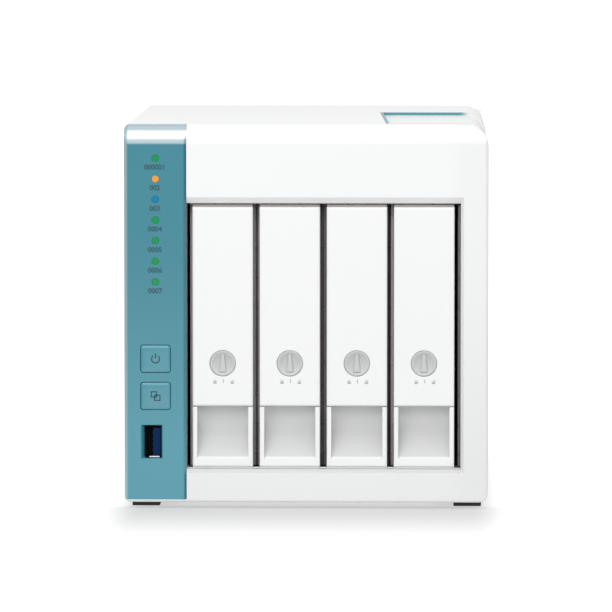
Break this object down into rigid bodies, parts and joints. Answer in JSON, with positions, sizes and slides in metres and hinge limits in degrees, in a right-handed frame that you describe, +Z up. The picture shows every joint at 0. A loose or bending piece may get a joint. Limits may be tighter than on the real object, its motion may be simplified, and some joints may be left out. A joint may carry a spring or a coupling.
{
  "type": "network attached storage unit",
  "caption": "Desktop network storage unit with vertical drive trays, hinged locking handles, side status panel and rear fan.",
  "frame": {"origin": "on the ground below the middle of the case", "axes": "+X to the right as the front is seen, +Y from the front to the back, +Z up"},
  "size_m": [0.16, 0.2198, 0.169],
  "materials": {
    "white_plastic": "satin moulded white",
    "teal_plastic": "gloss moulded teal",
    "key_teal": "gloss moulded teal key",
    "white_coat": "satin white paint",
    "cage_steel": "dark fine-texture paint",
    "zinc_steel": "zinc-plated sheet",
    "rear_steel": "light grey paint",
    "black_rubber": "matt black rubber",
    "black_plastic": "matt black plastic",
    "fan_black": "black fan plastic",
    "board_green": "green solder mask",
    "light_green": "lit green light pipe",
    "light_amber": "lit amber light pipe",
    "light_blue": "lit blue light pipe",
    "port_steel": "bright nickel shell",
    "port_blue": "dark blue socket insulator",
    "heatsink_aluminium": "extruded aluminium",
    "drive_cast": "cast and machined drive casing",
    "screw_steel": "zinc-plated screws",
    "lock_grey": "light grey lock",
    "clip_white": "white clip strip"
  },
  "bodies": {
    "enclosure": {"outer_cover": "white_coat", "accent_inlay": "teal_plastic", "front_bezel": "white_plastic", "status_panel": "teal_plastic", "base_plate": "zinc_steel", "rear_panel": "rear_steel", "drive_cage": "cage_steel", "feet": "black_rubber", "light_pipes_green": "light_green", "light_pipe_amber": "light_amber", "light_pipe_blue": "light_blue", "indicator_board": "board_green", "button_switches": "black_plastic", "usb_shells": "port_steel", "usb_tongues": "port_blue", "main_board": "board_green", "processor_heatsink": "heatsink_aluminium", "memory_module": "board_green", "memory_socket": "black_plastic", "network_sockets": "port_steel", "power_inlet": "black_plastic", "reset_switch": "black_plastic", "backplane_board": "board_green", "backplane_connector": "black_plastic", "drive_sockets": "black_plastic", "fan_frame": "fan_black", "fan_guard": "zinc_steel", "fan_screws": "screw_steel", "case_screws": "screw_steel", "backplane_screws": "screw_steel", "board_screws": "screw_steel", "cage_screws": "screw_steel"},
    "power_key": {"power_button": "key_teal"},
    "copy_key": {"copy_button": "key_teal"},
    "reset_key": {"reset_button": "black_plastic"},
    "fan": {"fan_rotor": "fan_black"},
    "bay_1_tray": {"tray_1_carrier": "white_plastic", "tray_1_hinge_pin": "screw_steel", "tray_1_drive_clips": "clip_white", "tray_1_hard_drive": "drive_cast"},
    "bay_1_handle": {"tray_1_handle": "white_plastic"},
    "bay_1_lock": {"tray_1_lock": "lock_grey"},
    "bay_2_tray": {"tray_2_carrier": "white_plastic", "tray_2_hinge_pin": "screw_steel", "tray_2_drive_clips": "clip_white", "tray_2_hard_drive": "drive_cast"},
    "bay_2_handle": {"tray_2_handle": "white_plastic"},
    "bay_2_lock": {"tray_2_lock": "lock_grey"},
    "bay_3_tray": {"tray_3_carrier": "white_plastic", "tray_3_hinge_pin": "screw_steel", "tray_3_drive_clips": "clip_white", "tray_3_hard_drive": "drive_cast"},
    "bay_3_handle": {"tray_3_handle": "white_plastic"},
    "bay_3_lock": {"tray_3_lock": "lock_grey"},
    "bay_4_tray": {"tray_4_carrier": "white_plastic", "tray_4_hinge_pin": "screw_steel", "tray_4_drive_clips": "clip_white", "tray_4_hard_drive": "drive_cast"},
    "bay_4_handle": {"tray_4_handle": "white_plastic"},
    "bay_4_lock": {"tray_4_lock": "lock_grey"}
  },
  "joints": [
    {"name": "power_button_press", "type": "slide", "parent": "enclosure", "child": "power_key", "axis": [0, 1, 0], "range_m": [0, 0.0006], "stiffness_N_per_m": 400, "springref_m": -0.001},
    {"name": "copy_button_press", "type": "slide", "parent": "enclosure", "child": "copy_key", "axis": [0, 1, 0], "range_m": [0, 0.0006], "stiffness_N_per_m": 400, "springref_m": -0.001},
    {"name": "reset_button_press", "type": "slide", "parent": "enclosure", "child": "reset_key", "axis": [0, -1, 0], "range_m": [0, 0.0005], "stiffness_N_per_m": 300, "springref_m": -0.001},
    {"name": "fan_spin", "type": "hinge", "parent": "enclosure", "child": "fan", "pos_m": [0.00765, 0.09, 0.0777], "axis": [0, 1, 0], "continuous": true},
    {"name": "tray_1_slide", "type": "slide", "parent": "enclosure", "child": "bay_1_tray", "axis": [0, -1, 0], "range_m": [0, 0.16]},
    {"name": "tray_1_handle_hinge", "type": "hinge", "parent": "bay_1_tray", "child": "bay_1_handle", "pos_m": [-0.0367, -0.1049, 0.1284], "axis": [-1, 0, 0], "range_deg": [0, 55]},
    {"name": "tray_1_lock_turn", "type": "hinge", "parent": "bay_1_handle", "child": "bay_1_lock", "pos_m": [-0.0367, -0.1085, 0.0641], "axis": [0, -1, 0], "range_deg": [0, 90]},
    {"name": "tray_2_slide", "type": "slide", "parent": "enclosure", "child": "bay_2_tray", "axis": [0, -1, 0], "range_m": [0, 0.16]},
    {"name": "tray_2_handle_hinge", "type": "hinge", "parent": "bay_2_tray", "child": "bay_2_handle", "pos_m": [-0.0072, -0.1049, 0.1284], "axis": [-1, 0, 0], "range_deg": [0, 55]},
    {"name": "tray_2_lock_turn", "type": "hinge", "parent": "bay_2_handle", "child": "bay_2_lock", "pos_m": [-0.0072, -0.1085, 0.0641], "axis": [0, -1, 0], "range_deg": [0, 90]},
    {"name": "tray_3_slide", "type": "slide", "parent": "enclosure", "child": "bay_3_tray", "axis": [0, -1, 0], "range_m": [0, 0.16]},
    {"name": "tray_3_handle_hinge", "type": "hinge", "parent": "bay_3_tray", "child": "bay_3_handle", "pos_m": [0.0223, -0.1049, 0.1284], "axis": [-1, 0, 0], "range_deg": [0, 55]},
    {"name": "tray_3_lock_turn", "type": "hinge", "parent": "bay_3_handle", "child": "bay_3_lock", "pos_m": [0.0223, -0.1085, 0.0641], "axis": [0, -1, 0], "range_deg": [0, 90]},
    {"name": "tray_4_slide", "type": "slide", "parent": "enclosure", "child": "bay_4_tray", "axis": [0, -1, 0], "range_m": [0, 0.16]},
    {"name": "tray_4_handle_hinge", "type": "hinge", "parent": "bay_4_tray", "child": "bay_4_handle", "pos_m": [0.0518, -0.1049, 0.1284], "axis": [-1, 0, 0], "range_deg": [0, 55]},
    {"name": "tray_4_lock_turn", "type": "hinge", "parent": "bay_4_handle", "child": "bay_4_lock", "pos_m": [0.0518, -0.1085, 0.0641], "axis": [0, -1, 0], "range_deg": [0, 90]}
  ]
}
